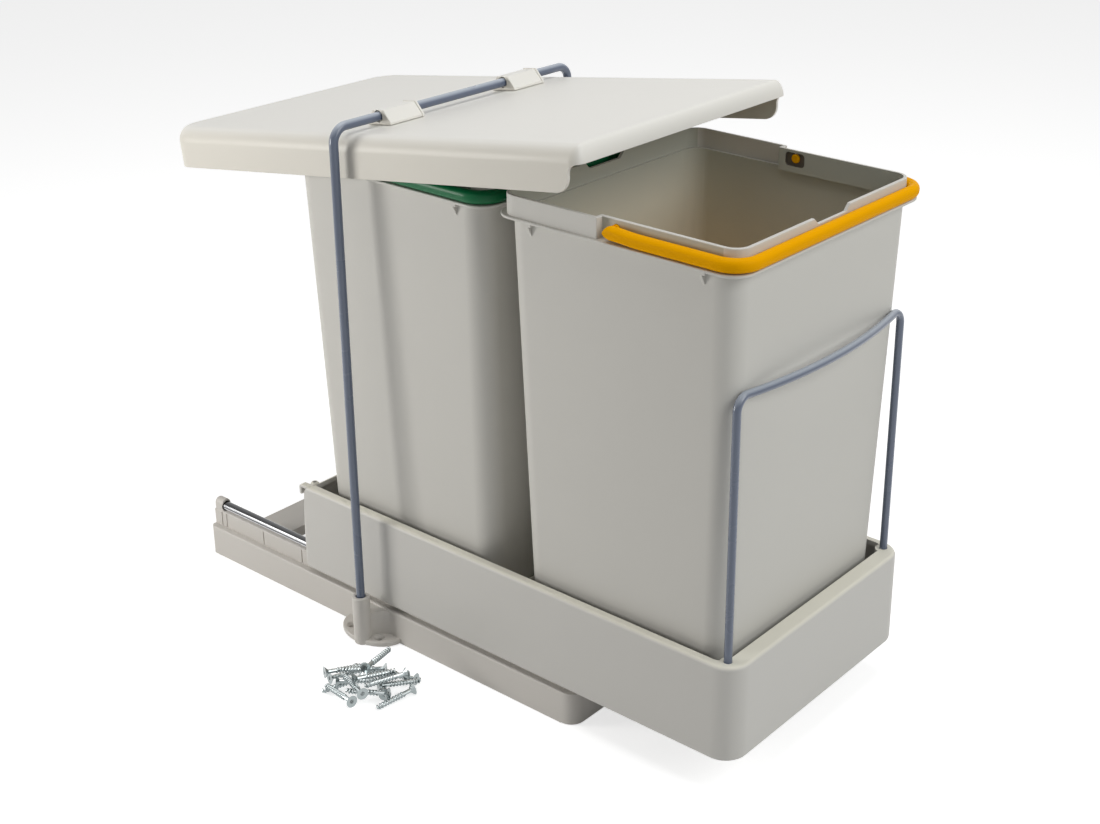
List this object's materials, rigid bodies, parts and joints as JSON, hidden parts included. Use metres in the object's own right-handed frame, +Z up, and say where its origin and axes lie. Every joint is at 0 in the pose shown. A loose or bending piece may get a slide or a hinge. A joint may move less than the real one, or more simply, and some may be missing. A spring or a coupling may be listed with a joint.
{
  "type": "pull-out kitchen waste unit",
  "caption": "Base-mounted pull-out waste unit: lift-out bins with bail handles in a tray that rolls on chromed guide rods, under a lid that tilts on a wire hoop",
  "frame": {"origin": "middle of the underside of the base's middle plate, on the cabinet floor below the lid's hoop", "axes": "+X to the right, +Y to the rear of the cabinet, +Z up; the tray pulls out along -Y"},
  "size_m": [0.3482, 0.5736, 0.4604],
  "materials": {
    "base_plastic": "satin warm grey",
    "tray_plastic": "satin warm grey",
    "bin_plastic": "fine matt light grey",
    "lid_plastic": "satin off-white",
    "coated_wire": "smooth blue-grey coating",
    "chromed_rod": "polished",
    "plated_steel": "bright zinc plated",
    "nylon": "smooth",
    "yellow_handle": "glossy orange-yellow",
    "green_handle": "glossy green"
  },
  "bodies": {
    "base": {"base_frame": "base_plastic", "rod_right": "chromed_rod", "rod_left": "chromed_rod", "lid_hoop": "coated_wire", "mounting_screw_1": "plated_steel", "mounting_screw_2": "plated_steel", "mounting_screw_3": "plated_steel", "mounting_screw_4": "plated_steel", "mounting_screw_5": "plated_steel", "mounting_screw_6": "plated_steel", "mounting_screw_7": "plated_steel", "mounting_screw_8": "plated_steel", "mounting_screw_9": "plated_steel", "mounting_screw_10": "plated_steel", "mounting_screw_11": "plated_steel", "mounting_screw_12": "plated_steel", "mounting_screw_13": "plated_steel", "mounting_screw_14": "plated_steel", "mounting_screw_15": "plated_steel", "mounting_screw_16": "plated_steel", "mounting_screw_17": "plated_steel"},
    "tray": {"tray_frame": "tray_plastic", "front_guard": "coated_wire", "front_bin": "bin_plastic", "rear_bin": "bin_plastic", "axle_front_right": "plated_steel", "axle_rear_right": "plated_steel", "axle_front_left": "plated_steel", "axle_rear_left": "plated_steel"},
    "front_handle": {"front_handle": "yellow_handle"},
    "rear_handle": {"rear_handle": "green_handle"},
    "lid": {"lid_shell": "lid_plastic", "lid_clip_right": "lid_plastic", "lid_clip_left": "lid_plastic"},
    "roller_front_right": {"roller_front_right": "nylon"},
    "roller_rear_right": {"roller_rear_right": "nylon"},
    "roller_front_left": {"roller_front_left": "nylon"},
    "roller_rear_left": {"roller_rear_left": "nylon"}
  },
  "joints": [
    {"name": "tray_slide", "type": "slide", "parent": "base", "child": "tray", "axis": [0, -1, 0], "range_m": [-0.134, 0.215]},
    {"name": "lid_tilt", "type": "hinge", "parent": "base", "child": "lid", "pos_m": [0, 0, 0.4355], "axis": [-1, 0, 0], "range_deg": [-8.48, 13.6]},
    {"name": "front_handle_swing", "type": "hinge", "parent": "tray", "child": "front_handle", "pos_m": [0, -0.24715, 0.4064], "axis": [-1, 0, 0], "range_deg": [0, 90]},
    {"name": "rear_handle_swing", "type": "hinge", "parent": "tray", "child": "rear_handle", "pos_m": [0, -0.02765, 0.4064], "axis": [-1, 0, 0], "range_deg": [0, 15]},
    {"name": "roller_front_right_spin", "type": "hinge", "parent": "tray", "child": "roller_front_right", "pos_m": [0.104, 0.021, 0.0563], "axis": [1, 0, 0], "continuous": true},
    {"name": "roller_rear_right_spin", "type": "hinge", "parent": "tray", "child": "roller_rear_right", "pos_m": [0.104, 0.058, 0.0563], "axis": [1, 0, 0], "continuous": true},
    {"name": "roller_front_left_spin", "type": "hinge", "parent": "tray", "child": "roller_front_left", "pos_m": [-0.104, 0.021, 0.0563], "axis": [1, 0, 0], "continuous": true},
    {"name": "roller_rear_left_spin", "type": "hinge", "parent": "tray", "child": "roller_rear_left", "pos_m": [-0.104, 0.058, 0.0563], "axis": [1, 0, 0], "continuous": true}
  ],
  "couplings": [
    {"joint": "lid_tilt", "follows": "tray_slide", "rad_per_m": 1.1032}
  ]
}
